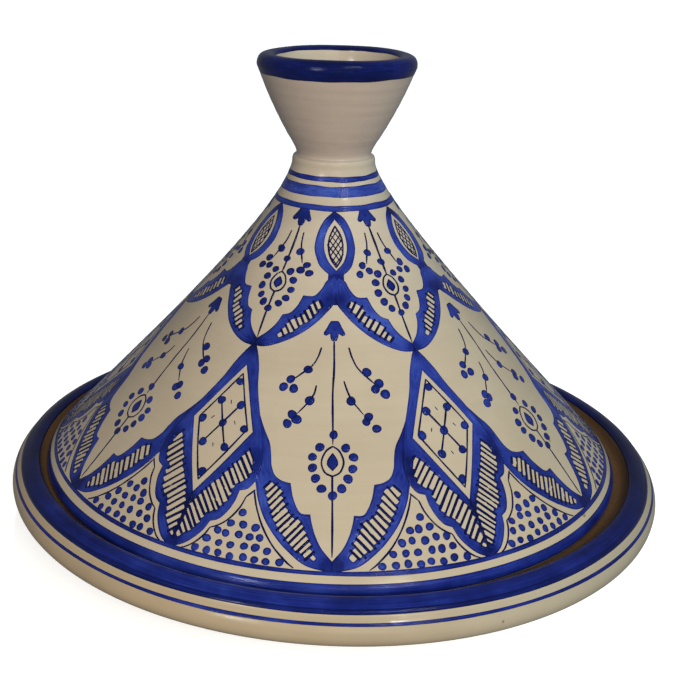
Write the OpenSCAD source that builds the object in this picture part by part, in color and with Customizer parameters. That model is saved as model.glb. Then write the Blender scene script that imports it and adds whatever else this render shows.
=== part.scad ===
// Serving tagine of thrown, glazed clay: a shallow footed dish and a conical lid.
// The lid is a thrown cone with a funnel-shaped knob joined on at its neck.
// The origin is the centre of the foot ring, on the surface that the dish stands on.

/* [Dish] */
// Widest diameter of the dish, at the swell under its rim
dish_d = 300; // [280:1:330]
// Height of the dish, from the table to the top of the rim
dish_h = 40; // [38:1:46]
// Width of the rounded rim, from its outer edge to the lip inside
rim_w = 9; // [8:0.5:10]
// Width of the flat ledge that the lid rests on
ledge_w = 12; // [10:0.5:14]
// Depth of the ledge below the top of the rim
ledge_drop = 6.4; // [5:0.1:8]
// Outer diameter of the foot ring
foot_d = 204; // [196:1:210]
// Width of the foot ring
foot_w = 8.5; // [6:0.5:10]
// Height of the hollow inside the foot ring
foot_hollow = 3; // [2:0.5:3.5]
// Thickness of the dish floor
floor_t = 5.6; // [5:0.2:7]

/* [Lid] */
// Play between the lid's edge and the lip of the rim, all round
lid_play = 4.4; // [3:0.1:5]
// Gap between the lid's lower edge and the ledge under it
seat_gap = 0.3; // [0.2:0.1:0.5]
// Thickness of the cone's wall
lid_wall = 7; // [6:0.5:8]
// Height of the cone, from its lower edge to the top of the collar
cone_h = 141.5; // [136:0.5:150]
// Lean of the cone's wall from upright, near its lower edge
cone_lean = 43.7; // [42:0.1:44]
// Diameter of the collar at the top of the cone
collar_d = 36.4; // [35:0.2:40]

/* [Knob] */
// Height of the knob above the collar
knob_h = 43.4; // [40:0.2:48]
// Widest diameter of the knob, just under its rim
knob_d = 69; // [64:0.2:74]
// Diameter of the knob's mouth
mouth_d = 52; // [46:0.5:54]
// Diameter of the knob where it stands on the collar
neck_d = 32.8; // [32:0.2:34.8]
// Depth of the cup inside the knob
cup_depth = 32; // [28:0.5:34]

/* [Hidden] */
$fn = 180;
glaze_color = [0.83, 0.79, 0.67];
knob_color = [0.74, 0.70, 0.62];
curve_steps = 12;

dish_r = dish_d / 2;
// Radius of the rim's outer edge, the groove between the rim and the swell
rim_r = dish_r - 4.4;
rim_edge_z = dish_h - 3.6;
lip_r = rim_r - rim_w;
ledge_z = dish_h - ledge_drop;
swell_z = dish_h - 11.6;
foot_r = foot_d / 2;
floor_z = foot_hollow + floor_t;

lid_r = lip_r - lid_play;
lid_z = ledge_z + seat_gap;
collar_z = lid_z + cone_h;
// Where the lid's rounded edge turns into the straight cone
cone_start = [lid_r - 3.6, lid_z + 8];
// How far the wall stays straight before it bends up towards the neck
straight_h = 67.5;
// Step from the outer to the inner face of the wall
wall_step = lid_wall * [cos(cone_lean), sin(cone_lean)];

knob_z = collar_z + knob_h;
knob_r = knob_d / 2;
mouth_r = mouth_d / 2;
neck_r = neck_d / 2;

// Points along a cubic curve from a to d, pulled towards b and c
function curve(a, b, c, d) = [
    for (i = [0:curve_steps])
        let (t = i / curve_steps, s = 1 - t)
        s * s * s * a + 3 * s * s * t * b + 3 * s * t * t * c + t * t * t * d
];

// The same curve without its first point, to follow on from another
function curve_on(a, b, c, d) = [for (i = [1:curve_steps]) curve(a, b, c, d)[i]];

module thrown(outline) {
    rotate_extrude()
        polygon(outline);
}

// The inside of the dish: flat floor, rising wall and the ledge's rounded edge
function well_line() =
    let (
        floor_end = [foot_r - 14, floor_z],
        wall_top = [lip_r - 3.6 - ledge_w - 2, ledge_z - 2.6]
    )
    concat(
        [[0, floor_z]],
        curve(floor_end, floor_end + [16, 0], wall_top - [5, 15], wall_top),
        curve_on(wall_top, wall_top + [0.5, 1.7], wall_top + [1, 2.6], wall_top + [2.4, 2.6])
    );

// The ledge, the lip behind it and the rounded rim
function rim_line() =
    let (
        root = [lip_r - 3.6, ledge_z],
        lip = [lip_r, dish_h - 1.8],
        ridge = [rim_r - 1.2, dish_h - 1.9],
        edge = [rim_r, rim_edge_z]
    )
    concat(
        curve(root, root + [2.2, 0], lip - [0.4, 2.7], lip),
        curve_on(lip, lip + [0.3, 2.1], ridge + [-3.4, 2.7], ridge),
        curve_on(ridge, ridge + [0.7, -0.5], edge + [0, 0.6], edge)
    );

// The swell below the rim, turning under to the foot
function belly_line() =
    let (
        edge = [rim_r, rim_edge_z],
        swell = [dish_r, swell_z],
        under = [dish_r - 8, swell_z - 6.8],
        foot_top = [foot_r + 2, 4.5]
    )
    concat(
        curve_on(edge, edge + [1.6, -1.8], swell + [0, 3.6], swell),
        curve_on(swell, swell - [0, 3.2], under + [5.4, 2], under),
        curve_on(under, under - [16, 6], foot_top + [14, 7.4], foot_top)
    );

// The foot ring with its eased edges, and the hollow inside it
function foot_line() =
    let (ring_in = foot_r - foot_w, ease = 0.8)
    [
        [foot_r, 2],
        [foot_r, ease],
        [foot_r - ease, 0],
        [ring_in + ease, 0],
        [ring_in, ease],
        [ring_in - 1, foot_hollow],
        [0, foot_hollow],
    ];

// Outside of the lid: rounded edge, long cone and the upright collar
function cone_outside() =
    let (
        edge = [lid_r, lid_z + 2.3],
        bend = cone_start + straight_h * [-tan(cone_lean), 1],
        neck = [collar_d / 2 + 0.1, collar_z - 3.4],
        collar = [collar_d / 2, collar_z - 1]
    )
    concat(
        curve([lid_r - 2, lid_z], [lid_r - 0.8, lid_z], [lid_r, lid_z + 1], edge),
        curve_on(edge, edge + [0, 2], cone_start + [1.6, -1.7], cone_start),
        curve_on(cone_start, bend, neck + [4.5, -18], neck),
        curve_on(neck, collar - [0, 1], collar + [0, 0.8], [collar_d / 2 - 0.9, collar_z])
    );

// Inside of the lid, from its blunt top down to the lower edge
function cone_inside() =
    let (
        low = cone_start - wall_step,
        bend = low + straight_h * [-tan(cone_lean), 1],
        top = [9, collar_z - 16.4]
    )
    concat(
        curve([0, collar_z - 14], [4, collar_z - 14], top + [-2, 1.6], top),
        curve_on(top, top + [11, -11], bend, low),
        curve_on(low, low + [0.6, -0.7], [low[0] + 1, lid_z + 1], [low[0] + 2, lid_z])
    );

// Outside of the knob: pinched neck, flaring funnel and rounded rim
function knob_outside() =
    let (
        neck = [neck_r, collar_z],
        flare = [neck_r + 6.7, collar_z + 13.2],
        brim = [knob_r - 0.1, knob_z - 5.2],
        crown = [(knob_r + mouth_r) / 2, knob_z]
    )
    concat(
        curve(neck, neck + [0.6, 3.8], flare - [4.2, 7.8], flare),
        curve_on(flare, flare + [5.3, 9.9], brim - [2.8, 7.8], brim),
        curve_on(brim, brim + [0.4, 3.2], crown + [2.6, 0], crown)
    );

// Inside of the knob, from the crown of its rim down to the floor of the cup
function knob_inside() =
    let (
        crown = [(knob_r + mouth_r) / 2, knob_z],
        mouth = [mouth_r, knob_z - 2.4],
        cup_floor = [8, knob_z - cup_depth + 0.4]
    )
    concat(
        curve_on(crown, crown - [2.3, 0], mouth + [0.3, 1.8], mouth),
        curve_on(mouth, mouth - [1.5, 10.4], cup_floor + [8, 1.5], cup_floor),
        [[0, knob_z - cup_depth]]
    );

module dish() {
    color(glaze_color)
        thrown(concat(well_line(), rim_line(), belly_line(), foot_line()));
}

module lid_cone() {
    color(glaze_color)
        thrown(concat(cone_outside(), [[0, collar_z]], cone_inside()));
}

module lid_knob() {
    color(knob_color)
        thrown(concat([[0, collar_z]], knob_outside(), knob_inside()));
}

dish();
lid_cone();
lid_knob();
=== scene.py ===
import math
import random

import bmesh
import bpy
import numpy as np
from mathutils import Matrix, Vector
from mathutils.geometry import delaunay_2d_cdt
from mathutils.kdtree import KDTree

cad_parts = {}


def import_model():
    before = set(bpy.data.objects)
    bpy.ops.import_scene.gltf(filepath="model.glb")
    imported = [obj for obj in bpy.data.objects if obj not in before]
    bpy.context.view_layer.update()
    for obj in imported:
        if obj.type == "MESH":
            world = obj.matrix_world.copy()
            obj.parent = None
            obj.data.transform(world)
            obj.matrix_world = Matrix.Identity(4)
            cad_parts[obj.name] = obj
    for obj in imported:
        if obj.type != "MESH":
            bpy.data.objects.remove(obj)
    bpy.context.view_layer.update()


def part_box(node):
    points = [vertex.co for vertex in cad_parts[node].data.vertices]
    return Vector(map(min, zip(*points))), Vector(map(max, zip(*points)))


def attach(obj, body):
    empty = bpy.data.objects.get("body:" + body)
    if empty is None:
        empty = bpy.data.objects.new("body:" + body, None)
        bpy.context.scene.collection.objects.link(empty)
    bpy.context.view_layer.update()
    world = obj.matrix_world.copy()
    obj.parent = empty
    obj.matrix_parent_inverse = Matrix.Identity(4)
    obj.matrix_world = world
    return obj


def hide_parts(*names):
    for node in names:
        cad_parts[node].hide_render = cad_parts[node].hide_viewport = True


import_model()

# Everything below is worked out in millimetres and turned into metres as each mesh is made.
MM = 0.001
TURN = 2 * math.pi
CELLS = 6
CELL_STEP = TURN / CELLS


def box_mm(node):
    low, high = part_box(node)
    return np.array(low) / MM, np.array(high) / MM


# ---------------------------------------------------------------- outlines of the thrown pieces


def curve(a, b, c, d, steps=16):
    """Points along a cubic curve from a to d, pulled towards b and c."""
    t = np.linspace(0, 1, steps + 1)[:, None]
    s = 1 - t
    a, b, c, d = (np.array(p, float) for p in (a, b, c, d))
    return s**3 * a + 3 * s * s * t * b + 3 * s * t * t * c + t**3 * d


def joined(*parts):
    """One outline from several, without the repeated points where they meet."""
    points = [np.array(parts[0], float)]
    for part in parts[1:]:
        part = np.array(part, float)
        same = np.allclose(points[-1][-1], part[0], atol=1e-6)
        points.append(part[1:] if same else part)
    return np.vstack(points)


class Profile:
    """The outline of a thrown piece as (radius, height) points, measured by the length along it."""

    def __init__(self, points, outward, calm, ripple, seed, aside=(0.0, 0.0)):
        self.aside = aside
        self.points = np.array(points, float)
        steps = np.diff(self.points, axis=0)
        self.length = np.concatenate([[0], np.cumsum(np.hypot(steps[:, 0], steps[:, 1]))])
        slope = np.gradient(self.points, self.length, axis=0)
        normal = np.stack([-slope[:, 1], slope[:, 0]], 1) * outward
        self.normal = normal / np.hypot(normal[:, 0], normal[:, 1])[:, None]
        self.calm = calm
        self.ripple = ripple
        self.phase = random.Random(seed).uniform(0, TURN)

    def at(self, t):
        r = np.interp(t, self.length, self.points[:, 0])
        z = np.interp(t, self.length, self.points[:, 1])
        return r, z

    def length_where(self, r=None, z=None, after=0.0):
        """The length at which the outline first passes a radius or a height."""
        column, value = (0, r) if z is None else (1, z)
        side = self.points[:, column] - value
        for i in range(1, len(side)):
            if self.length[i] > after and side[i - 1] * side[i] <= 0 and side[i - 1] != side[i]:
                share = side[i - 1] / (side[i - 1] - side[i])
                return self.length[i - 1] + share * (self.length[i] - self.length[i - 1])
        raise ValueError("the outline doesn't pass there")

    def hand(self, theta, t, z):
        """How far the thrown wall lies under its true outline: slow waves and the rings of throwing."""
        slow = 0.13 * (np.sin(2 * theta + self.phase) - 1) + 0.06 * (np.sin(5 * theta + t / 31) - 1)
        rings = self.ripple * (np.sin(t * TURN / 5.3 + theta + 0.6 * np.sin(3 * theta)) - 1)
        rest = np.ones_like(z)
        for height in self.calm:
            rest = rest * np.clip((np.abs(z - height) - 0.6) / 5, 0.12, 1)
        return (slow + rings) * rest

    def place(self, theta, t, lift=0.0):
        """Points on the piece, in millimetres, lifted off its surface."""
        r, z = self.at(t)
        nr = np.interp(t, self.length, self.normal[:, 0])
        nz = np.interp(t, self.length, self.normal[:, 1])
        lift = lift + self.hand(theta, t, z)
        r = np.maximum(r + nr * lift, 0)
        aside = self.aside[0] + self.aside[1] * np.clip((z - LEAN_START) / LEAN_H, 0, 1) ** 2
        return np.stack([r * np.sin(theta) - aside, -r * np.cos(theta), z + nz * lift], -1)


_, DISH_HIGH = box_mm("dish")
CONE_LOW, CONE_HIGH = box_mm("lid_cone")
_, KNOB_HIGH = box_mm("lid_knob")
DISH_R, DISH_H = DISH_HIGH[0], DISH_HIGH[2]
LID_R, LID_Z, COLLAR_Z = CONE_HIGH[0], CONE_LOW[2], CONE_HIGH[2]
KNOB_R, KNOB_Z = KNOB_HIGH[0], KNOB_HIGH[2]

# Sizes that the nodes' boxes don't hold, as in the CAD part
RIM_IN = 4.4
RIM_W = 9.0
LEDGE_DROP = 6.4
LEDGE_W = 12.0
FOOT_R = 102.0
FOOT_W = 8.5
FOOT_HOLLOW = 3.0
FLOOR_Z = 8.6
LID_WALL = 7.0
CONE_LEAN = math.radians(43.7)
STRAIGHT_H = 67.5
COLLAR_R = 18.2
MOUTH_R = 26.0
NECK_R = 16.4
CUP_DEPTH = 32.0

# How far the lid sits to the left in its roomy seat, how much further the neck and knob lean, and the height
# at which that lean starts and over which it grows
LID_ASIDE = (1.6, 2.0)
LEAN_START, LEAN_H = 95.0, 75.0


def dish_outline():
    rim_r, lip_r, ledge_z = DISH_R - RIM_IN, DISH_R - RIM_IN - RIM_W, DISH_H - LEDGE_DROP
    floor_end = np.array([FOOT_R - 14, FLOOR_Z])
    wall_top = np.array([lip_r - 3.6 - LEDGE_W - 2, ledge_z - 2.6])
    root = np.array([lip_r - 3.6, ledge_z])
    lip = np.array([lip_r, DISH_H - 1.8])
    ridge = np.array([rim_r - 1.2, DISH_H - 1.9])
    edge = np.array([rim_r, DISH_H - 3.6])
    swell = np.array([DISH_R, DISH_H - 11.6])
    under = swell - [8, 6.8]
    foot_top = np.array([FOOT_R + 2, 4.5])
    ring_in = FOOT_R - FOOT_W
    return joined(
        np.linspace([0, FLOOR_Z], floor_end, 12),
        curve(floor_end, floor_end + [16, 0], wall_top - [5, 15], wall_top),
        curve(wall_top, wall_top + [0.5, 1.7], wall_top + [1, 2.6], wall_top + [2.4, 2.6], 8),
        np.linspace(wall_top + [2.4, 2.6], root, 4),
        curve(root, root + [2.2, 0], lip - [0.4, 2.7], lip, 8),
        curve(lip, lip + [0.3, 2.1], ridge + [-3.4, 2.7], ridge, 24),
        curve(ridge, ridge + [0.7, -0.5], edge + [0, 0.6], edge, 6),
        curve(edge, edge + [1.6, -1.8], swell + [0, 3.6], swell, 16),
        curve(swell, swell - [0, 3.2], under + [5.4, 2], under, 12),
        curve(under, under - [16, 6], foot_top + [14, 7.4], foot_top, 16),
        [foot_top, [FOOT_R, 2], [FOOT_R, 0.8], [FOOT_R - 0.8, 0], [ring_in + 0.8, 0]],
        [[ring_in, 0.8], [ring_in - 1, FOOT_HOLLOW]],
        np.linspace([ring_in - 1, FOOT_HOLLOW], [0, FOOT_HOLLOW], 12),
    )


def cone_outline():
    start = np.array([LID_R - 3.6, LID_Z + 8])
    lean = np.array([-math.tan(CONE_LEAN), 1])
    wall = LID_WALL * np.array([math.cos(CONE_LEAN), math.sin(CONE_LEAN)])
    edge = np.array([LID_R, LID_Z + 2.3])
    neck = np.array([COLLAR_R + 0.1, COLLAR_Z - 3.4])
    collar = np.array([COLLAR_R, COLLAR_Z - 1])
    low = start - wall
    top = np.array([9, COLLAR_Z - 16.4])
    blunt = COLLAR_Z - 14
    return joined(
        curve([LID_R - 2, LID_Z], [LID_R - 0.8, LID_Z], [LID_R, LID_Z + 1], edge, 8),
        curve(edge, edge + [0, 2], start + [1.6, -1.7], start, 10),
        curve(start, start + STRAIGHT_H * lean, neck + [4.5, -18], neck, 150),
        curve(neck, collar - [0, 1], collar + [0, 0.8], [COLLAR_R - 0.9, COLLAR_Z], 8),
        [[COLLAR_R - 0.9, COLLAR_Z], [0, COLLAR_Z]],
    ), joined(
        curve([0, blunt], [4, blunt], top + [-2, 1.6], top, 8),
        curve(top, top + [11, -11], low + STRAIGHT_H * lean, low, 60),
        curve(low, low + [0.6, -0.7], [low[0] + 1, LID_Z + 1], [low[0] + 2, LID_Z], 6),
        [[low[0] + 2, LID_Z], [LID_R - 2, LID_Z]],
    )


def knob_outline():
    neck = np.array([NECK_R, COLLAR_Z])
    flare = neck + [6.7, 13.2]
    brim = np.array([KNOB_R - 0.1, KNOB_Z - 5.2])
    crown = np.array([(KNOB_R + MOUTH_R) / 2, KNOB_Z])
    mouth = np.array([MOUTH_R, KNOB_Z - 2.4])
    cup_floor = np.array([8, KNOB_Z - CUP_DEPTH + 0.4])
    return joined(
        [[0, COLLAR_Z], neck + [0.9, 0]],
        curve(neck + [0.9, 0], neck + [0.3, 0.1], neck + [-0.1, 0.5], neck + [0.05, 1.2], 6),
        curve(neck + [0.05, 1.2], neck + [0.6, 3.8], flare - [4.2, 7.8], flare, 20),
        curve(flare, flare + [5.3, 9.9], brim - [2.8, 7.8], brim, 28),
        curve(brim, brim + [0.4, 3.2], crown + [2.6, 0], crown, 20),
        curve(crown, crown - [2.3, 0], mouth + [0.3, 1.8], mouth, 14),
        curve(mouth, mouth - [1.5, 10.4], cup_floor + [8, 1.5], cup_floor, 28),
        np.linspace(cup_floor, [0, KNOB_Z - CUP_DEPTH], 4),
    )


LEDGE_Z = DISH_H - LEDGE_DROP
DISH = Profile(dish_outline(), 1, [LEDGE_Z, 0, FOOT_HOLLOW], 0.035, 3)
CONE_OUT, CONE_IN = (
    Profile(points, -1, [LID_Z, COLLAR_Z], ripple, 5, LID_ASIDE)
    for points, ripple in zip(cone_outline(), (0.02, 0.08))
)
KNOB = Profile(knob_outline(), -1, [COLLAR_Z], 0.03, 7, LID_ASIDE)

# ---------------------------------------------------------------- meshes


def new_object(name, verts, faces, smooth=None):
    mesh = bpy.data.meshes.new(name)
    mesh.from_pydata((np.asarray(verts) * MM).tolist(), [], faces)
    mesh.polygons.foreach_set("use_smooth", [True] * len(faces) if smooth is None else smooth)
    mesh.update()
    piece = bpy.data.objects.new(name, mesh)
    bpy.context.scene.collection.objects.link(piece)
    return piece


def set_values(piece, name, kind, domain, values):
    layer = piece.data.attributes.new(name, kind, domain)
    key = "vector" if kind == "FLOAT_VECTOR" else "value"
    layer.data.foreach_set(key, np.asarray(values, float).ravel())


def bake_layout(piece, corner_uv):
    """A texture layout, on a UV layer named OFBake. A texture layout under the exporter's own name for
    it, so that it doesn't unwrap the piece itself.
    """
    layer = piece.data.uv_layers.new(name="OFBake")
    layer.data.foreach_set("uv", np.asarray(corner_uv, float).ravel())


def tidied(piece):
    """Welds the rows that meet and turns every face outwards."""
    mesh = bmesh.new()
    mesh.from_mesh(piece.data)
    bmesh.ops.remove_doubles(mesh, verts=mesh.verts, dist=1e-7)
    bmesh.ops.recalc_face_normals(mesh, faces=mesh.faces)
    mesh.to_mesh(piece.data)
    mesh.free()


def revolved(name, profiles, segments):
    """A closed thrown piece: each profile follows on from the last, or starts again on the axis."""
    theta = np.arange(segments) * TURN / segments
    total = sum(profile.length[-1] for profile in profiles)
    verts, faces, uv = [], [], []
    count, done = 0, 0.0
    for profile in profiles:
        rings = []
        for t, (r, _) in zip(profile.length, profile.points):
            ring = profile.place(theta, np.full(segments, t))
            rings.append((count, r < 1e-6, (done + t) / total))
            verts.append(ring[:1] if r < 1e-6 else ring)
            count += len(verts[-1])
        done += profile.length[-1]
        for (a, a_pole, v0), (b, b_pole, v1) in zip(rings, rings[1:]):
            for k in range(segments):
                n = (k + 1) % segments
                u0, u1 = k / segments, (k + 1) / segments
                if a_pole:
                    faces.append((a, b + n, b + k))
                    uv += [(u0, v0), (u1, v1), (u0, v1)]
                elif b_pole:
                    faces.append((a + k, a + n, b))
                    uv += [(u0, v0), (u1, v0), (u0, v1)]
                else:
                    faces.append((a + k, a + n, b + n, b + k))
                    uv += [(u0, v0), (u1, v0), (u1, v1), (u0, v1)]
    piece = new_object(name, np.vstack(verts), faces)
    bake_layout(piece, uv)
    tidied(piece)
    return piece


# ---------------------------------------------------------------- paint

PAINT_SINK = 0.15  # how far the foot of the paint lies below the glaze's surface
PAINT_ROLL = 0.5  # the distance in which most of the rounding at its edge takes place


def paint_height(lift, edge):
    return lift * (0.8 + 0.2 * (1 - np.exp(-edge / PAINT_ROLL)))


def uneven(hand, amount, waves):
    """A slow closed wave round the pot, as a brush makes while the wheel turns."""
    parts = [(n, hand.uniform(0, TURN), hand.uniform(0.4, 1)) for n in waves]
    return lambda theta: amount * sum(a * np.sin(n * theta + p) for n, p, a in parts) / 2


def band(name, profile, low, high, lift, seed, tone=0.0, painted_side_shade=0.0, ragged=0.2, along=720):
    """A thin closed ring of paint between two lengths along a profile, darkened at the pot's left and right
    sides by a painted shade.
    """
    hand = random.Random(seed)
    theta = np.arange(along) * TURN / along
    low_edge = low + uneven(hand, ragged, [2, 3, 7, 12])(theta)
    high_edge = high + uneven(hand, ragged, [1, 4, 6, 11])(theta)
    steps = np.linspace(0, math.pi, max(8, round((high - low) / 0.45)) + 1)
    share = (1 - np.cos(steps)) / 2 * 0.3 + steps / math.pi * 0.7
    rows, edge, brush = [], [], []
    for level in (1, 0):
        for k in share if level else share[::-1]:
            t = low_edge + (high_edge - low_edge) * k
            near = np.minimum(t - low_edge, high_edge - t)
            height = paint_height(lift, near) if level else np.full(along, -PAINT_SINK)
            rows.append(profile.place(theta, t, height))
            edge.append(near)
            brush.append(np.stack([np.sin(theta) * 3, t / 1.3, np.cos(theta) * 3 + seed], 1))
    count = len(rows)
    faces, uv = [], []
    for i in range(count):
        j = (i + 1) % count
        v0 = i / count
        for k in range(along):
            n = (k + 1) % along
            faces.append((i * along + k, i * along + n, j * along + n, j * along + k))
            u0, u1, v1 = k / along, (k + 1) / along, v0 + 1 / count
            uv += [(u0, v0), (u1, v0), (u1, v1), (u0, v1)]
    piece = new_object(name, np.vstack(rows), faces)
    bake_layout(piece, uv)
    set_values(piece, "edge", "FLOAT", "POINT", np.concatenate(edge))
    set_values(piece, "brush", "FLOAT_VECTOR", "POINT", np.vstack(brush))
    # Per face: the band's own tone, plus a painted shade growing towards the pot's left and right sides
    set_values(piece, "tone", "FLOAT", "FACE", np.tile(tone + painted_side_shade * np.sin(theta) ** 4, count))
    set_values(piece, "over", "FLOAT", "FACE", np.zeros(len(faces)))
    set_values(piece, "pool", "FLOAT", "POINT", np.zeros(count * along))
    tidied(piece)
    return piece


# The cone's wall rolls out flat into a fan. Patterns are drawn on that flat fan in millimetres: x to the
# right of an upright axis, y up the slope from the lower edge of the line that the pattern stands on.
LINE_T = CONE_OUT.length_where(z=LID_Z + 8)
ROLL = 0.675  # the sine of the slope's lean, averaged down the slightly hollow wall
APEX = 190.0
HALF_CELL = CELL_STEP / 2 * ROLL  # from a panel's axis to the next one's, on the fan


def onto_cone(points, turn, lift):
    """Flat points set on the cone about the axis at angle turn, with the drift of a hand-drawn pattern."""
    x, y = points[:, 0], points[:, 1]
    theta = turn + np.arctan2(x, APEX - y) / ROLL
    t = LINE_T + APEX - np.hypot(x, APEX - y)
    r = CONE_OUT.at(t)[0]
    slip = 0.35 * np.sin(4 * theta + t / 17) + 0.22 * np.sin(9 * theta - t / 11 + 2)
    climb = 0.35 * np.sin(5 * theta - t / 23 + 1) + 0.18 * np.sin(11 * theta + t / 9)
    climb = climb * np.clip((t - LINE_T) / 20, 0, 1)
    drift = math.radians(1.5) - math.radians(1.3) * np.sin(theta)
    return CONE_OUT.place(theta + drift + slip / r, t + climb, lift)


def spline(points, step=0.9):
    """A smooth line through the points given, with its own points about a step apart."""
    p = np.array(points, float)
    if len(p) == 2:
        count = max(int(np.hypot(*(p[1] - p[0])) / step), 1)
        return np.linspace(p[0], p[1], count + 1)
    p = np.vstack([2 * p[0] - p[1], p, 2 * p[-1] - p[-2]])
    out = [p[1]]
    for a, b, c, d in zip(p, p[1:], p[2:], p[3:]):
        count = max(int(np.hypot(*(c - b)) / step), 1)
        for k in range(1, count + 1):
            u = k / count
            bend = (c - a) * u + (2 * a - 5 * b + 4 * c - d) * u * u + (3 * b - a - 3 * c + d) * u**3
            out.append(b + bend / 2)
    return np.array(out)


def outline(*lines):
    """A closed outline from smooth lines that meet at corners."""
    points = joined(*(spline(line) for line in lines))
    return points[:-1] if np.allclose(points[0], points[-1], atol=1e-6) else points


def flip(points):
    """The same points on the other side of the axis."""
    return np.array(points, float) * [-1, 1]


def stroke(points, width, hand, heel=0.55, tip=0.4):
    """A brush line: a little uneven, thinner at its heel and its tip."""
    line = spline(points, 0.8)
    run = np.concatenate([[0], np.cumsum(np.hypot(*np.diff(line, axis=0).T))])
    along = np.gradient(line, run, axis=0)
    along = along / np.hypot(along[:, 0], along[:, 1])[:, None]
    side = np.stack([-along[:, 1], along[:, 0]], 1)
    fade = min(2.5, run[-1] / 3)
    full = np.minimum(heel + (1 - heel) * run / fade, tip + (1 - tip) * (run[-1] - run) / fade)
    wave = 1 + 0.12 * np.sin(run / hand.uniform(1.5, 3) + hand.uniform(0, TURN))
    half = (width / 2 * np.minimum(full, 1) * wave)[:, None]
    return np.vstack(
        [
            line - side * half,
            line[-1:] + along[-1:] * half[-1:],
            (line + side * half)[::-1],
            line[:1] - along[:1] * half[:1],
        ]
    )


def dash(start, end, width, bluntness=0.8):
    """A short straight line with rounded ends."""
    run = np.hypot(*(end - start))
    along = (end - start) / run
    side = np.array([-along[1], along[0]])
    angle = np.linspace(-math.pi / 2, math.pi / 2, 5)[:, None]
    cap = (np.cos(angle) * along * bluntness + np.sin(angle) * side) * width / 2
    inset = along * min(width * 0.4, run * 0.4)
    return np.vstack([end - inset + cap, start + inset - cap])


def dot(x, y, r, hand):
    """A dab of paint, never quite round."""
    angle = np.arange(14) * TURN / 14
    squash, turn = hand.uniform(0.9, 1.0), hand.uniform(0, TURN)
    bump = 1 + 0.05 * np.sin(2 * angle + turn) + 0.03 * np.sin(3 * angle + 2 * turn)
    r = r * hand.uniform(0.93, 1.07)
    x, y = x + hand.uniform(-0.3, 0.3), y + hand.uniform(-0.3, 0.3)
    return np.stack([x + r * bump * np.cos(angle), y + r * squash * bump * np.sin(angle)], 1)


def distance(points, a, b):
    """How far each point lies from the nearest of the short segments a to b."""
    tree = KDTree(len(a))
    for k, (x, y) in enumerate((a + b) / 2):
        tree.insert((x, y, 0), k)
    tree.balance()
    near = np.array([[hit[1] for hit in tree.find_n((x, y, 0), 4)] for x, y in points])
    run = (b - a)[near]
    away = points[:, None] - a[near]
    share = np.clip((away * run).sum(2) / np.maximum((run**2).sum(2), 1e-12), 0, 1)
    gap = away - share[..., None] * run
    return np.sqrt((gap**2).sum(2).min(1))


def twice_area(shape):
    x, y = shape[:, 0], shape[:, 1]
    return (x * np.roll(y, -1) - y * np.roll(x, -1)).sum()


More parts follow.
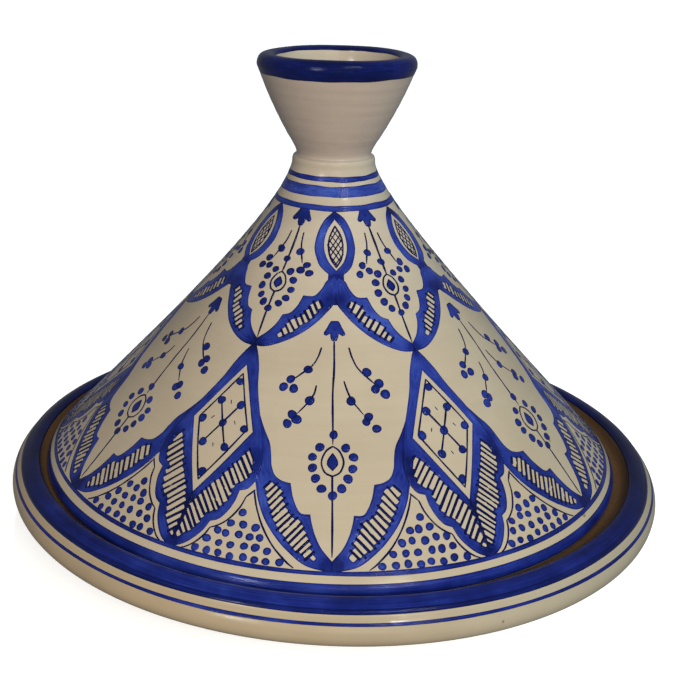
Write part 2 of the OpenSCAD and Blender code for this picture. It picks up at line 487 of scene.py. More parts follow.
class Paint:
    """Shapes for one layer of paint, gathered on the flat fan."""

    def __init__(self):
        self.shapes = []
        self.joins = []

    def add(self, shape, tone=0.0):
        shape = np.array(shape, float)
        self.shapes.append((shape if twice_area(shape) > 0 else shape[::-1], tone))

    def cut(self, shape):
        self.add(shape, None)

    def both(self, shape, tone=0.0):
        self.add(shape, tone)
        self.add(flip(shape), tone)

    def pool(self, *places):
        """Where strokes meet and the wet paint gathers, on both sides of the axis."""
        self.joins += [(side * x, y) for side in (-1, 1) for x, y in places]

    def pooled(self, flat):
        depth = np.zeros(len(flat))
        for place in self.joins:
            depth += np.exp(-((flat - place) ** 2).sum(1) / 11)
        return np.minimum(depth, 1.2)

    def grid(self, spacing):
        """Points between the outlines, so that the layer follows the cone and can fade to its edges."""
        corners = np.vstack([shape for shape, _ in self.shapes])
        low, high = corners.min(0), corners.max(0)
        columns = np.arange(low[0], high[0], spacing)
        rows = np.arange(low[1], high[1], spacing * 0.87)
        x, y = np.meshgrid(columns, rows)
        x[1::2] += spacing / 2
        points = np.stack([x.ravel(), y.ravel()], 1)
        after = np.vstack([np.roll(shape, -1, 0) for shape, _ in self.shapes])
        return points[distance(points, corners, after) > 0.45 * spacing]

    def triangles(self, spacing):
        """The painted area in triangles, with each one's tone and how many more strokes cover it."""
        verts, faces = [], []
        for shape, _ in self.shapes:
            faces.append(list(range(len(verts), len(verts) + len(shape))))
            verts += [Vector(p) for p in shape]
        if spacing:
            verts += [Vector(p) for p in self.grid(spacing)]
        flat, _, tris, _, _, owners = delaunay_2d_cdt(verts, [], faces, 1, 1e-4)
        kept, tone, over = [], [], []
        for tri, held_by in zip(tris, owners):
            tones = [self.shapes[k][1] for k in held_by]
            if tones and None not in tones:
                kept.append(tri)
                tone.append(tones[np.argmax(held_by)])
                over.append(min(len(tones) - 1, 2))
        return np.array([tuple(p) for p in flat]), np.array(kept), tone, over

    def layer(self, name, turn, lift, hand, spacing=0.0):
        """The layer as one thin closed piece on the cone."""
        flat, tris, tone, over = self.triangles(spacing)
        a, b, c = (flat[tris[:, k]] for k in range(3))
        turned = (b - a)[:, 0] * (c - a)[:, 1] < (b - a)[:, 1] * (c - a)[:, 0]
        tris[turned] = tris[turned][:, ::-1]
        used, tris = np.unique(tris, return_inverse=True)
        flat, tris = flat[used], tris.reshape(-1, 3)
        sides = np.vstack([tris[:, [0, 1]], tris[:, [1, 2]], tris[:, [2, 0]]])
        _, first, times = np.unique(np.sort(sides, 1), axis=0, return_index=True, return_counts=True)
        rim = sides[first[times == 1]]
        edge = distance(flat, flat[rim[:, 0]], flat[rim[:, 1]])
        count = len(flat)
        top = onto_cone(flat, turn, paint_height(lift, edge))
        foot = onto_cone(flat, turn, -PAINT_SINK)
        under = tris[:, ::-1]
        walls = np.stack([rim[:, 1], rim[:, 0], rim[:, 0] + count, rim[:, 1] + count], 1)
        faces = tris.tolist() + (under + count).tolist() + walls.tolist()
        smooth = [True] * len(tris) + [False] * (len(tris) + len(walls))
        piece = new_object(name, np.vstack([top, foot]), faces, smooth)
        place = (flat - flat.min(0)) / np.ptp(flat, axis=0)
        shown, hidden = place * [1, 0.94] + [0, 0.06], place * [1, 0.05]
        corners = [shown[tris.ravel()], hidden[under.ravel()], hidden[(walls % count).ravel()]]
        bake_layout(piece, np.vstack(corners))
        brush = np.stack([flat[:, 1] / 9, edge / 0.8, np.full(count, hand.uniform(0, 50))], 1)
        set_values(piece, "edge", "FLOAT", "POINT", np.tile(edge, 2))
        set_values(piece, "pool", "FLOAT", "POINT", np.tile(self.pooled(flat), 2))
        set_values(piece, "brush", "FLOAT_VECTOR", "POINT", np.tile(brush, (2, 1)))
        bare = [0.0] * len(walls)
        set_values(piece, "tone", "FLOAT", "FACE", tone + tone + bare)
        set_values(piece, "over", "FLOAT", "FACE", over + over + bare)
        return piece


def hatch(wash, ink, window, lean, spacing, hand, line=1.1):
    """Bare stripes left in the wash over a window, with a fine dark line between each and the next."""
    along = np.array([math.cos(lean), math.sin(lean)])
    across = np.array([-along[1], along[0]])
    after = np.roll(window, -1, 0)
    level, next_level = window @ across, after @ across

    def chords(height):
        hit = (level - height) * (next_level - height) < 0
        share = (height - level[hit]) / (next_level - level)[hit]
        ends = np.sort((window[hit] + (after - window)[hit] * share[:, None]) @ along)
        return [pair for pair in zip(ends[::2], ends[1::2]) if pair[1] - pair[0] > 0.9]

    at = level.min() + spacing * 0.4
    while at < level.max():
        middle = at + hand.uniform(-0.1, 0.1) * spacing
        for start, end in chords(middle):
            start, end = start - hand.uniform(0.3, 1.5) * line, end + hand.uniform(0.3, 1.5) * line
            tilt = hand.uniform(-0.2, 0.2) * across
            p, q = along * start + across * middle, along * end + across * middle
            ink.add(dash(p - tilt, q + tilt, line * hand.uniform(0.8, 1.2)), FIRM)
        middle = at + spacing / 2
        for start, end in chords(middle) if wash else []:
            start, end = start - hand.uniform(0.2, 0.9), end + hand.uniform(0.2, 0.9)
            p, q = along * start + across * middle, along * end + across * middle
            wash.cut(dash(p, q, spacing * 0.9, 0.35))
        at += spacing


# ---------------------------------------------------------------- the pattern

DAB, LINE, FIRM = 0.2, 0.72, 1.0  # how much darker than the plain wash each kind of stroke is
THIN, FULL = -0.12, 0.03  # the same for the wash near the top of the cone and for the wash below
DOWN_OUT = math.radians(-45)


def around(points):
    """A closed outline from its right half, which starts and ends on the axis."""
    return np.vstack([points, flip(points)[-2:0:-1]])


def sides(points):
    """The same points to the left and to the right of the axis."""
    return [(side * x, y) for side in (-1, 1) for x, y in points]


def sprig(ink, hand, line, dabs, r):
    """A fine curved line with dabs of paint on it."""
    ink.add(stroke(line, 0.72, hand, 0.9, 0.5), LINE)
    for x, y in dabs:
        ink.add(dot(x, y, r, hand), DAB)


def flower(ink, hand, centre, ring, seed, petals, r):
    """An oval ring, pointed at its top, round a filled seed and circled by dabs."""
    w, h = ring
    half = [(0.15, centre + h + 0.3), (w * 0.62, centre + h * 0.72), (w, centre)]
    half.append((w * 0.68, centre - h * 0.7))
    for side in (-1, 1):
        ink.add(stroke(np.array([*half, (-0.3, centre - h)]) * [side, 1], 0.8, hand, 0.9, 0.9), LINE)
    w, h = seed
    half = np.array([(0, centre + h), (w * 0.7, centre + h * 0.4), (w, centre - h * 0.25), (0, centre - h)])
    ink.add(around(spline(half)), DAB)
    for side in (-1, 1):
        ink.add(stroke(half * [side, 1], 0.6, hand, 0.8, 0.8), LINE)
    for x, y in petals:
        ink.add(dot(x, y, r, hand), DAB)


def tulip(ink, top, size):
    """The three-lobed head at the top of a stem."""
    lobe = [(0, 0), (1.6, -0.1), (2.2, -0.9), (3.1, -2.8), (4.4, -5), (4.4, -6), (3.4, -6.5), (1.8, -5.6)]
    tongue = [(1.8, -5.6), (1.6, -7.2), (1.1, -8.5), (0, -8.9)]
    ink.add(around(np.array([0, top]) + size * joined(spline(lobe), spline(tongue))), DAB)


def lower_panel(hand):
    """The tall panel: two scalloped hatched leaves that meet in a point, with a stem and sprigs between."""
    wash, ink = Paint(), Paint()
    leaf = outline(
        [(-0.3, 1.0), (-0.3, 5.2)],
        [(-0.3, 5.2), (3.8, 10), (6.3, 15), (7.8, 20), (8.5, 23.8)],
        [(8.5, 23.8), (12, 24), (14, 26.5), (15.8, 31), (16.9, 36.3)],
        [(16.9, 36.3), (20.5, 37.3), (23.5, 39.5), (25, 43.5), (25.3, 48), (26, 53), (28.4, 59), (31.4, 68)],
        [(31.4, 68), (32.6, 66), (33.2, 58), (33.4, 50), (32.8, 43), (31.3, 36.3)],
        [(31.3, 36.3), (30, 30), (27, 22.5), (22.5, 15.5), (17.5, 9.7), (10, 3.7), (-0.3, 1.0)],
    )
    wash.both(leaf, FULL)
    wash.pool((0.5, 2.5), (1.5, 4), (31, 50), (31, 57))
    window = outline(
        [(6.2, 5.6), (8, 10.5), (9.8, 15.5), (11.8, 20.5)],
        [(11.8, 20.5), (15, 22), (17.5, 25), (19.5, 29.5), (20.8, 34)],
        [(20.8, 34), (24, 36), (27, 36.5)],
        [(27, 36.5), (27, 33), (25.3, 27.7), (22.7, 22), (19.8, 16.5), (15.6, 11.5), (10.6, 7.2)]
        + [(6.2, 5.6)],
    )
    hatch(wash, ink, window, DOWN_OUT, 2.6, hand)
    hatch(wash, ink, flip(window), math.pi - DOWN_OUT, 2.35, hand)
    tulip(ink, 104.3, 1.0)
    ink.add(stroke([(0, 96), (0.2, 84), (-0.3, 72), (0, 52)], 0.85, hand), LINE)
    ink.add(stroke([(0, 39), (0.1, 25), (0, 7)], 0.85, hand, 1.0, 0.4), LINE)
    ink.add(dot(0, 55.8, 1.95, hand), DAB)
    petals = sides([(5.1, 50.9), (8.6, 46.8), (8.5, 42.5), (6.7, 38.1), (4.1, 34.4)])
    flower(ink, hand, 45, (4.6, 5.9), (2.1, 3.4), petals + [(0.2, 31.6)], 1.92)
    line = [(-5.1, 92.5), (-6.5, 88.2), (-9.3, 84), (-17.6, 77.8)]
    sprig(ink, hand, line, [(-10.6, 82.6), (-17.8, 79), (-20.4, 75.7), (-16.2, 75.1)], 2.0)
    line = [(-6.9, 76), (-7.9, 72.4), (-10.6, 68.6), (-14.8, 64.4)]
    sprig(ink, hand, line, [(-9.5, 69.5), (-16.9, 64.3), (-15.1, 62.2), (-18.8, 60.8)], 2.0)
    line = [(6, 93), (7.4, 88.7), (10.2, 84), (17.1, 78.3)]
    sprig(ink, hand, line, [(13.1, 83.4), (18.5, 79), (17.2, 76.4), (21.5, 75)], 2.0)
    line = [(4.2, 78.7), (5.6, 74.6), (7.9, 70.4), (12.5, 65.2)]
    sprig(ink, hand, line, [(7.4, 70.4), (14.8, 64.3), (13.7, 62.1), (18.1, 59.7)], 2.0)
    return wash, ink


def almond(wash, ink, hand):
    """The pointed eye at the neck, with netted paint inside."""
    outer = [(0, 154), (4.2, 150), (7, 145), (8.5, 140), (8.8, 136), (7.5, 130), (5.6, 127), (3.5, 124.9)]
    stem = [(3.5, 124.9), (3.7, 121.5), (4.6, 118.5), (6.4, 115.5), (6, 112), (0, 111)]
    wash.add(around(joined(spline(outer), spline(stem))), THIN)
    wash.pool((0, 122), (0, 118), (0, 113), (0.5, 152))
    wash.cut(around(spline([(0, 150), (3.4, 144.5), (4.9, 137.5), (3.4, 131), (0, 126.5)])))
    seed = around(spline([(0, 146.6), (2.3, 142), (3.1, 137), (2.2, 132), (0, 128.4)]))
    for side in (-1, 1):
        edge = np.array([(0, 147), (2.4, 142), (3.1, 137), (2.3, 132), (0, 128)]) * [side, 1]
        ink.add(stroke(edge, 0.75, hand, 0.9, 0.9), LINE)
    hatch(None, ink, seed, math.radians(57), 1.9, hand, 0.55)
    hatch(None, ink, seed, math.radians(-57), 1.9, hand, 0.55)


def upper_leaves(wash, ink, hand):
    """The two scalloped leaves that hang between the almonds."""
    leaf = outline(
        [(0, 89.3), (6, 90.3), (12, 93.5), (17.5, 98.5), (22, 105), (24.8, 111), (26.6, 116.5), (25.6, 122)],
        [(25.6, 122), (24.2, 126), (22, 127.6)],
        [(22, 127.6), (19.6, 124.5), (19, 121), (17, 117), (12.7, 116)],
        [(12.7, 116), (12, 111), (10.2, 107), (7.3, 105.3)],
        [(7.3, 105.3), (6.2, 101), (3.5, 96.5), (-0.3, 92.8)],
        [(-0.3, 92.8), (-0.3, 91), (0, 89.3)],
    )
    wash.both(leaf, THIN / 2)
    wash.pool((0, 90.5), (24.5, 117))
    window = outline(
        [(8, 95), (12, 97), (15.5, 101), (18.5, 105.5), (21, 110.5), (22.5, 115.3)],
        [(22.5, 115.3), (20, 115), (17, 112), (16, 107)],
        [(16, 107), (12.5, 104.5), (10.5, 100.5), (8.5, 96), (8, 95)],
    )
    hatch(wash, ink, window, DOWN_OUT, 2.45, hand)
    hatch(wash, ink, flip(window), math.pi - DOWN_OUT, 2.45, hand)


def upper_sprig(ink, hand):
    tulip(ink, 154.6, 0.95)
    ink.add(stroke([(0, 147), (0.2, 138), (0, 124)], 0.95, hand), LINE)
    ink.add(stroke([(0, 114.6), (-0.2, 104), (0, 93.4)], 0.9, hand, 1.0, 0.4), LINE)
    ink.add(dot(0, 130.4, 1.75, hand), DAB)
    petals = sides([(3.7, 125), (6.3, 121.3), (7, 116.9), (6, 112.7), (3.6, 109.6)])
    flower(ink, hand, 119.3, (3.5, 4.7), (1.8, 2.6), petals + [(0, 106.8)], 1.75)
    line = np.array([(2.9, 143.4), (3.9, 138), (7.2, 130)])
    dabs = np.array([(4.7, 134.8), (9.3, 129.6), (7.4, 126.6), (11.7, 126.4)])
    for side in (-1, 1):
        sprig(ink, hand, line * [side, 1], dabs * [side, 1], 1.75)


def diamond(wash, ink, hand):
    """The kite: a painted frame, and inside it a fine outline with nine dabs joined by lines."""
    frame_side = spline([(0, 91.5), (3, 87), (6.2, 80.7), (9.8, 71.7), (17.8, 56.8)])
    wash.add(around(joined(frame_side, spline([(17.8, 56.8), (9, 38), (0, 20.5)]))))
    kite = joined(spline([(0, 80.5), (7, 68), (14.7, 54)]), spline([(14.7, 54), (7.6, 39), (0, 24.5)]))
    wash.cut(around(kite))
    for s in (-1, 1):
        ink.add(stroke([(0, 76.4), (s * 5.8, 65.6), (s * 12.1, 54.4)], 0.75, hand, 0.8, 0.8), LINE)
        ink.add(stroke([(s * 12.1, 54.4), (s * 6.2, 41.6), (0, 29.6)], 0.75, hand, 0.8, 0.8), LINE)
        ink.add(stroke([(s * 5, 63.3), (0, 54), (-s * 5.2, 44.8)], 0.85, hand, 0.8, 0.8), LINE)
        ink.add(stroke([(s * 5.2, 55.8), (s * 6, 54.6)], 0.8, hand), LINE)
    for y in (63.2, 44.3):
        ink.add(stroke([(-0.3, y + 0.7), (0.3, y - 0.7)], 0.8, hand), LINE)
    for x, y in sides([(5, 63.3), (10.4, 54.1), (5.2, 44.8)]) + [(0, 72.6), (0, 54), (0, 33)]:
        ink.add(dot(x, y, 1.95, hand), DAB)


def scalloped_border(wash, ink, hand):
    """The hatched border below the diamond, with its scalloped outer edge and a spine down its middle."""
    scallops = (
        [(0, 1.0), (2.5, 1.8), (6, 4), (9, 7.5), (11.3, 11.5), (12.4, 15.6)],
        [(12.4, 15.6), (15.3, 17.3), (17.5, 21), (18.8, 26), (18.8, 30.3)],
        [(18.8, 30.3), (21.8, 32), (23.7, 36)],
        [(23.7, 36), (23.4, 43), (21, 50), (17.8, 56.8)],
        [(17.8, 56.8), (9, 38), (0, 20.5)],
    )
    wash.add(around(joined(*(spline(line) for line in scallops))), FULL)
    wash.pool((0.5, 2.5), (0.5, 21), (21, 40), (20.5, 46))
    window = outline(
        [(0.9, 5), (2.5, 6.3), (5.5, 9.8), (8, 14), (9.2, 18.7)],
        [(9.2, 18.7), (12.2, 20), (14, 22.5), (15.3, 27), (15.5, 32)],
        [(15.5, 32), (18, 33.5), (20, 37), (19.8, 42), (17.3, 47.8)],
        [(17.3, 47.8), (9, 33), (1.4, 19.5), (0.9, 5)],
    )
    hatch(wash, ink, window, DOWN_OUT, 2.2, hand)
    hatch(wash, ink, flip(window), math.pi - DOWN_OUT, 2.55, hand)
    ink.add(stroke([(0, 24), (0.2, 14), (0, 4)], 1.5, hand), LINE)


def beside(points):
    """Points drawn from the next panel's axis, seen from this one's."""
    x, y = np.array(points, float).T
    rho, phi = np.hypot(x, APEX - y), HALF_CELL - np.arctan2(x, APEX - y)
    return np.stack([rho * np.sin(phi), APEX - rho * np.cos(phi)], 1)


def spandrel(ink, hand, side):
    """The dotted corner beside the border, inside its own fine outline."""
    near = (
        [(24.8, 32.4), (22.4, 28.8)],
        [(22.4, 28.8), (21.7, 24), (19.3, 18.6), (16.2, 15), (13.5, 13.2)],
        [(13.5, 13.2), (12.5, 9.8), (10.3, 6), (7.3, 3), (5, 1.8)],
    )
    far = beside([(31.6, 33), (30.1, 26.5), (27.1, 18.8), (22.7, 11.3), (17.6, 5.4), (14.5, 2.8)])
    near_edge = joined(*(spline(line) for line in near))
    far_edge = spline(far)
    for line in (*near, far):
        ink.add(stroke(np.array(line) * [side, 1], 0.75, hand, 0.8, 0.6), LINE)

    def angle_at(edge, up):
        reach = APEX - np.hypot(edge[:, 0], APEX - edge[:, 1])
        return np.interp(up, reach[::-1], np.arctan2(edge[:, 0], APEX - edge[:, 1])[::-1])

    up = 3.6
    while up < 29:
        rho = APEX - up
        start, end = angle_at(near_edge, up) + 3 / rho, angle_at(far_edge, up) - 3 / rho
        count = int((end - start) * rho / 4.5) + 1
        for phi in np.linspace(start, end, count) if end > start else []:
            phi += hand.uniform(-0.5, 0.5) / rho
            x, y = rho * math.sin(phi), APEX - rho * math.cos(phi)
            ink.add(dot(side * x, y + hand.uniform(-0.4, 0.4), 1.7, hand), DAB * 0.3)
        up += 4.3


def middle_panel(hand):
    """What stands between two tall panels: leaves and sprig above, diamond and dotted corners below."""
    wash, ink = Paint(), Paint()
    upper_leaves(wash, ink, hand)
    upper_sprig(ink, hand)
    diamond(wash, ink, hand)
    scalloped_border(wash, ink, hand)
    for side in (-1, 1):
        spandrel(ink, hand, side)
    return wash, ink


# ---------------------------------------------------------------- materials

# The one cream glaze: where it is thin, where it is thick, and its faint stains
PALE, DEEP, STAIN = (0.385, 0.328, 0.243, 1), (0.352, 0.293, 0.208, 1), (0.298, 0.240, 0.170, 1)
# What its colour is multiplied by: towards the top a lighter, bluer painted light; round the outside of the
# dish a warm tint that turns at its right to a cool painted light; and round the outside of the knob a
# painted shade
PAINTED_TOP_LIGHT, KNOB_SHADE = (1.08, 1.11, 1.2, 1), (0.94, 0.91, 0.98, 1)
WARM, PAINTED_COOL_LIGHT = (0.86, 0.785, 0.675, 1), (0.82, 0.855, 0.87, 1)


def add(tree, kind, inputs, **settings):
    """A shader node with its settings and inputs; an input that is another node's output is linked."""
    node = tree.nodes.new("ShaderNode" + kind)
    for key, value in settings.items():
        setattr(node, key, value)
    for key, value in inputs.items():
        if isinstance(value, bpy.types.NodeSocket):
            tree.links.new(value, node.inputs[key])
        else:
            node.inputs[key].default_value = value
    return node.outputs


def new_material(name):
    material = bpy.data.materials.new(name)
    material.use_nodes = True
    return material, material.node_tree, material.node_tree.nodes["Principled BSDF"]


def noise(tree, at, scale, detail=3.0, rough=0.55):
    return add(tree, "TexNoise", {"Vector": at, "Scale": scale, "Detail": detail, "Roughness": rough})["Fac"]


def span(tree, value, low, high, to_low=0.0, to_high=1.0):
    """A value stretched from one range to another and held within it."""
    ranges = {"Value": value, "From Min": low, "From Max": high, "To Min": to_low, "To Max": to_high}
    return add(tree, "MapRange", ranges)["Result"]


def maths(tree, operation, a, b):
    return add(tree, "Math", {0: a, 1: b}, operation=operation)["Value"]


def blend(tree, share, a, b, mode="MIX"):
    return add(tree, "Mix", {"Factor": share, 6: a, 7: b}, data_type="RGBA", blend_type=mode)[2]


def place_in_piece(tree, scale=(1, 1, 1)):
    at = add(tree, "TexCoord", {})["Object"]
    return at if scale == (1, 1, 1) else add(tree, "Mapping", {"Vector": at, "Scale": scale})["Vector"]


def read(tree, name, output="Fac"):
    return add(tree, "Attribute", {}, attribute_name=name)[output]


def link(tree, output, node, name):
    tree.links.new(output, node.inputs[name])


def glaze(name, top, tint, right_light_tint=None):
    """Cream glaze: cloudy, ringed by the wheel and rarely specked. Towards the top it is lighter and bluer,
    a painted light. Outside and up to a height it is tinted: for the knob with a painted shade, and for the
    dish with a second tint, a painted cool light, that takes over towards the right."""
    material, tree, shader = new_material(name)
    at = place_in_piece(tree)
    rings = place_in_piece(tree, (9, 9, 420))
    cloud = noise(tree, at, 11, 4)
    patch = noise(tree, at, 38, 5)
    ring = noise(tree, rings, 1, 3)
    colour = blend(tree, span(tree, cloud, 0.35, 0.68), PALE, DEEP)
    colour = blend(tree, span(tree, patch, 0.5, 0.8, 0, 0.35), colour, STAIN)
    colour = blend(tree, span(tree, ring, 0.45, 0.8, 0, 0.22), colour, STAIN)
    axes = add(tree, "SeparateXYZ", {"Vector": at})
    height = axes["Z"]
    # Painted light: towards the right the outside tint becomes a cool one
    if right_light_tint:
        tint = blend(tree, span(tree, axes["X"], -0.06, 0.1), tint, right_light_tint)
    facing = {0: place_in_piece(tree, (1, 1, 0)), 1: add(tree, "TexCoord", {})["Normal"]}
    outward = add(tree, "VectorMath", facing, operation="DOT_PRODUCT")["Value"]
    below = span(tree, height, top - 0.001, top + 0.001, 1, 0)
    # Painted light: the glaze turns lighter and bluer from 110 to 160 mm up
    colour = blend(tree, span(tree, height, 0.11, 0.16), colour, PAINTED_TOP_LIGHT, "MULTIPLY")
    # The outside tint: on the dish a warm colour turning to painted cool light at the right, on the knob a
    # painted shade
    tinted = maths(tree, "MULTIPLY", below, span(tree, outward, 0.0, 0.006))
    colour = blend(tree, tinted, colour, tint, "MULTIPLY")
    cells = add(tree, "TexVoronoi", {"Vector": at, "Scale": 75.0})
    rare = maths(tree, "GREATER_THAN", add(tree, "SeparateColor", {"Color": cells["Color"]})["Red"], 0.92)
    size = span(tree, noise(tree, at, 240, 2), 0.35, 0.7, 0.03, 0.12)
    speck = maths(tree, "MULTIPLY", rare, maths(tree, "LESS_THAN", cells["Distance"], size))
    colour = blend(tree, maths(tree, "MULTIPLY", speck, 0.6), colour, (0.09, 0.06, 0.04, 1))
    link(tree, colour, shader, "Base Color")
    link(tree, span(tree, noise(tree, at, 60, 4), 0.3, 0.75, 0.12, 0.3), shader, "Roughness")
    relief = maths(tree, "ADD", noise(tree, at, 130, 3), maths(tree, "MULTIPLY", ring, 0.8))
    bump = {"Height": relief, "Strength": 0.12, "Distance": 0.001}
    link(tree, add(tree, "Bump", bump)["Normal"], shader, "Normal")
    shader.inputs["Specular IOR Level"].default_value = 0.5
    return material


def cobalt():
    """Brushed cobalt under glaze: a thin wash that darkens where it pools, overlaps or was drawn fine, and
    where a band's tone carries painted shade.
    """
    material, tree, shader = new_material("blue_paint")
    at = place_in_piece(tree)
    brush, edge = read(tree, "brush", "Vector"), read(tree, "edge")
    gathered = maths(tree, "MULTIPLY", read(tree, "pool"), 0.3)
    pooled = maths(tree, "ADD", span(tree, edge, 0.0, 0.8, 0.2, 0.0), gathered)
    streak = span(tree, noise(tree, brush, 1.6, 4, 0.6), 0.3, 0.75, -0.12, 0.18)
    cloud = span(tree, noise(tree, at, 70, 4), 0.3, 0.75, -0.14, 0.18)
    wide = span(tree, noise(tree, at, 16, 2), 0.35, 0.7, -0.1, 0.1)
    dark = maths(tree, "MULTIPLY_ADD", read(tree, "over"), 0.2)
    dark.node.inputs[2].default_value = 0.34
    # The tone attribute holds the paint's own tone and, on some bands, painted shade
    for part in (pooled, streak, cloud, wide, maths(tree, "MULTIPLY", read(tree, "tone"), 0.75)):
        dark = maths(tree, "ADD", dark, part)
    ramp = add(tree, "ValToRGB", {"Fac": dark})
    stops = [
        (0.0, (0.044, 0.082, 0.345)),
        (0.25, (0.017, 0.034, 0.222)),
        (0.5, (0.006, 0.014, 0.132)),
        (0.75, (0.002, 0.006, 0.066)),
        (1.0, (0.001, 0.003, 0.036)),
    ]
    band_of = ramp[0].node.color_ramp
    while len(band_of.elements) < len(stops):
        band_of.elements.new(0.5)
    for element, (place, colour) in zip(band_of.elements, stops):
        element.position = place
        element.color = (*colour, 1)
    link(tree, ramp["Color"], shader, "Base Color")
    shader.inputs["Specular IOR Level"].default_value = 0.28
    link(tree, span(tree, noise(tree, at, 90, 4), 0.3, 0.75, 0.12, 0.3), shader, "Roughness")
    relief = maths(tree, "ADD", noise(tree, at, 160, 3), maths(tree, "MULTIPLY", streak, 2.0))
    bump = {"Height": relief, "Strength": 0.12, "Distance": 0.001}
    link(tree, add(tree, "Bump", bump)["Normal"], shader, "Normal")
    return material


def bare_clay(name, pale, deep):
    """Fired clay without glaze, sandy and dry; for the seat its very dark colours also stand in for painted
    shade.
    """
    material, tree, shader = new_material(name)
    at = place_in_piece(tree)
    grain = noise(tree, at, 420, 3)
    colour = blend(tree, noise(tree, at, 45, 4), pale, deep)
    colour = blend(tree, span(tree, grain, 0.55, 0.75, 0, 0.5), colour, (0.05, 0.03, 0.02, 1))
    link(tree, colour, shader, "Base Color")
    bump = {"Height": grain, "Strength": 0.4, "Distance": 0.0006}
    link(tree, add(tree, "Bump", bump)["Normal"], shader, "Normal")
    shader.inputs["Roughness"].default_value = 0.85
    return material


# ---------------------------------------------------------------- the pot

# The dish's outside turns from warm at its left to cool at its right, a painted light
CREAM = glaze("cream_glaze", (DISH_H - 3.6) * MM, WARM, PAINTED_COOL_LIGHT)
# Outside the knob, the cream glaze is darkened by a painted shade
KNOB_SHADED_CREAM = glaze("knob_glaze", KNOB_Z * MM, KNOB_SHADE)
BLUE = cobalt()
FOOT_CLAY = bare_clay("foot_clay", (0.42, 0.24, 0.15, 1), (0.52, 0.34, 0.22, 1))
# The seat's clay is very dark: partly the unglazed seat's own brown, partly painted shade in the gap under
# the lid
SEAT_CLAY_AND_SHADE = bare_clay("seat_clay_and_shade", (0.085, 0.045, 0.018, 1), (0.125, 0.070, 0.030, 1))


def finished(piece, material, body):
    piece.data.materials.append(material)
    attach(piece, body)
    return piece


def glazed_bodies():
    dish = finished(revolved("dish_glaze", [DISH], 360), CREAM, "dish")
    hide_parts("dish")
    lid = finished(revolved("lid_glaze", [CONE_OUT, CONE_IN], 360), CREAM, "lid")
    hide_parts("lid_cone")
    knob = finished(revolved("knob_glaze", [KNOB], 240), KNOB_SHADED_CREAM, "lid")
    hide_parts("lid_knob")


def bands():
    blue_from = DISH_H - 2
    crest = DISH.length[np.argmax(DISH.points[:, 1])]
    ridge = DISH.length_where(z=DISH_H - 1.9, after=crest)
    rim_end = DISH.length_where(z=DISH_H - 3.6, after=crest)
    line_end = DISH.length_where(z=DISH_H - 6.8, after=crest)
    foot = DISH.length_where(z=1.2, after=crest)
    foot_in = DISH.length_where(r=FOOT_R - FOOT_W - 0.3, after=foot)
    rim_in = DISH.length_where(z=blue_from)
    painted = [
        # The last number of each rim band is painted shade at the pot's left and right sides
        band("dish_rim_blue", DISH, rim_in, ridge + 0.4, 0.06, 11, 0.24, 0.55),
        # The rim's steep outer face gets a darker tone, a painted shade
        band("dish_rim_side", DISH, ridge, rim_end, 0.08, 12, 0.48, 0.2),
        band("dish_line", DISH, line_end - 1.4, line_end, 0.06, 13, 0.15, ragged=0.15),
    ]
    for piece in painted:
        finished(piece, BLUE, "dish")
    # From below the ledge up the lip's inner wall to the blue: the unglazed seat, and painted shade in the
    # gap round the lid
    seat = DISH.length_where(z=LEDGE_Z - 0.5)
    seat_end = DISH.length_where(z=blue_from + 0.05)
    finished(band("foot_clay", DISH, foot, foot_in, 0.02, 14), FOOT_CLAY, "dish")
    finished(band("seat_clay_and_shade", DISH, seat, seat_end, 0.03, 21, ragged=0.5), SEAT_CLAY_AND_SHADE, "dish")
    low = CONE_OUT.length_where(z=LID_Z + 1.3)
    high = CONE_OUT.length_where(z=LID_Z + 5.9)
    top = KNOB.length[np.argmax(KNOB.points[:, 1])]
    mouth = KNOB.length_where(z=KNOB_Z - 1.8, after=top)
    painted = [
        # Its last number is painted shade at the pot's left and right sides
        band("lid_edge_blue", CONE_OUT, low, high, 0.06, 15, 0.15, 0.2),
        band("lid_line", CONE_OUT, LINE_T, LINE_T + 1.9, 0.1, 16, 0.18),
        band("neck_line_low", CONE_OUT, LINE_T + 153.5, LINE_T + 156.1, 0.08, 17, -0.03),
        band("neck_line_wide", CONE_OUT, LINE_T + 159.6, LINE_T + 164.4, 0.05, 18, -0.22),
        band("neck_line_top", CONE_OUT, LINE_T + 166.3, LINE_T + 168.5, 0.05, 19, 0.04),
        band("knob_rim_blue", KNOB, KNOB.length_where(z=KNOB_Z - 8.1), mouth, 0.1, 20, 0.56),
    ]
    for piece in painted:
        finished(piece, BLUE, "lid")


def pattern():
    for k in range(2 * CELLS):
        kind, draw = ("middle", middle_panel) if k % 2 else ("lower", lower_panel)
        hand = random.Random(100 + k)
        wash, ink = draw(hand)
        if draw is lower_panel:
            almond(wash, ink, hand)
        turn = k * CELL_STEP / 2
        lifts = (0.032, 0.058) if k % 2 else (0.02, 0.046)
        for layer, shapes, lift, spacing in (("wash", wash, lifts[0], 0.9), ("ink", ink, lifts[1], 1.1)):
            piece = shapes.layer(f"{kind}_{layer}_{k:02d}", turn, lift, hand, spacing)
            finished(piece, BLUE, "lid")


glazed_bodies()
bands()
pattern()

# ---------------------------------------------------------------- floor, light and camera


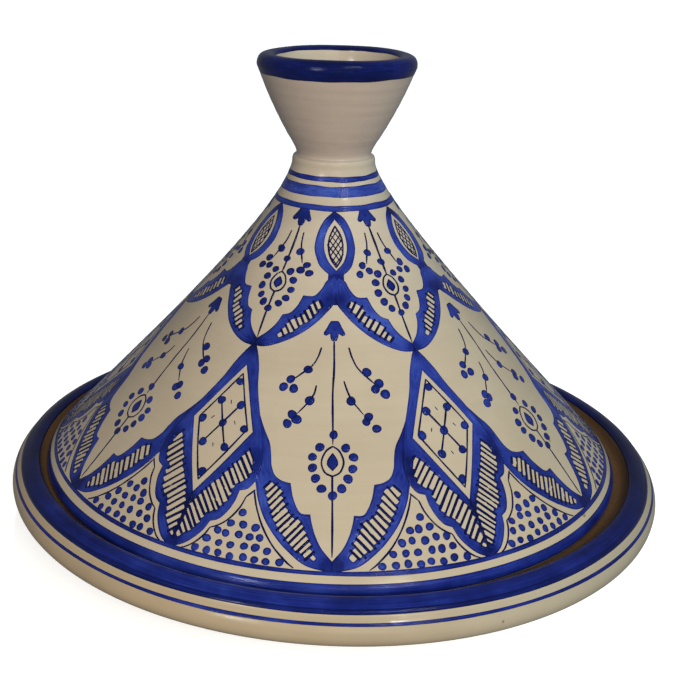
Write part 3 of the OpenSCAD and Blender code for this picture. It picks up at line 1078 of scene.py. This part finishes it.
def floor():
    """White paper that takes shadows, but isn't reflected in the glaze and throws no light on the pot."""
    mesh = bpy.data.meshes.new("floor")
    mesh.from_pydata([(-15, -15, 0), (15, -15, 0), (15, 15, 0), (-15, 15, 0)], [], [(0, 1, 2, 3)])
    piece = bpy.data.objects.new("floor", mesh)
    bpy.context.scene.collection.objects.link(piece)
    material, _, shader = new_material("floor_paper")
    shader.inputs["Base Color"].default_value = (0.96, 0.96, 0.96, 1)
    shader.inputs["Emission Color"].default_value = (1, 1, 1, 1)
    shader.inputs["Emission Strength"].default_value = 0.55
    shader.inputs["Roughness"].default_value = 0.9
    piece.data.materials.append(material)
    piece.visible_glossy = piece.visible_diffuse = False


def light_object(light, colour, place, glints):
    """Sets a light at a place and turns it to the pot's axis, level with the rim of the dish."""
    light.color = colour
    piece = bpy.data.objects.new(light.name, light)
    piece.location = place
    piece.visible_glossy = glints
    piece.rotation_euler = (place - Vector((0, 0, DISH_H * MM))).to_track_quat("Z", "Y").to_euler()
    bpy.context.scene.collection.objects.link(piece)


def direction(azimuth, elevation):
    """Azimuth 0 is in front of the pot and 90 to its right."""
    a, e = math.radians(azimuth), math.radians(elevation)
    return Vector((math.sin(a) * math.cos(e), -math.cos(a) * math.cos(e), math.sin(e)))


def far_lamp(name, azimuth, elevation, strength, softness, colour, glints=False):
    light = bpy.data.lights.new(name, "SUN")
    light.energy, light.angle = strength, math.radians(softness)
    light_object(light, colour, direction(azimuth, elevation) * 3, glints)


def softbox(name, azimuth, elevation, away, size, power, colour):
    """A soft light near enough for the front of the pot to be the brightest."""
    light = bpy.data.lights.new(name, "AREA")
    light.energy, light.size = power, size
    light_object(light, colour, direction(azimuth, elevation) * away, False)


def camera():
    """The photograph's viewpoint: in front of the pot and a little above it."""
    pitch, yaw, roll = (math.radians(a) for a in (20.63, -3.42, 0.98))
    right = Vector((math.cos(yaw), -math.sin(yaw), 0))
    ahead = Vector((math.sin(yaw) * math.cos(pitch), math.cos(yaw) * math.cos(pitch), -math.sin(pitch)))
    up = right.cross(ahead)
    side = right * math.cos(roll) + up * math.sin(roll)
    top = up * math.cos(roll) - right * math.sin(roll)
    lens = bpy.data.cameras.new("camera")
    lens.sensor_width, lens.lens, lens.shift_x = 36, 59.5, 0.0996
    piece = bpy.data.objects.new("camera", lens)
    turn = Matrix((side, top, -ahead)).transposed()
    piece.matrix_world = Matrix.Translation((0, -0.5045, 0.2731)) @ turn.to_4x4()
    bpy.context.scene.collection.objects.link(piece)
    bpy.context.scene.camera = piece


def world():
    sky = bpy.data.worlds.new("studio")
    sky.use_nodes = True
    back = sky.node_tree.nodes["Background"]
    back.inputs["Color"].default_value = (0.95, 0.97, 1, 1)
    back.inputs["Strength"].default_value = 0.17
    bpy.context.scene.world = sky


floor()
softbox("key", 9, 24, 1.2, 0.55, 14.1, (1, 0.94, 0.845))
far_lamp("window", 84, 32, 1.0, 16, (0.45, 0.84, 1))
far_lamp("ceiling", 38, 82, 0.5, 3, (1, 0.98, 0.94))
far_lamp("left_lamp", -29, 24, 0.3, 3, (1, 1, 1), glints=True)
far_lamp("right_lamp", 30, 44, 0.3, 3, (1, 1, 1), glints=True)
camera()
world()
bpy.context.scene.view_settings.view_transform = "Standard"
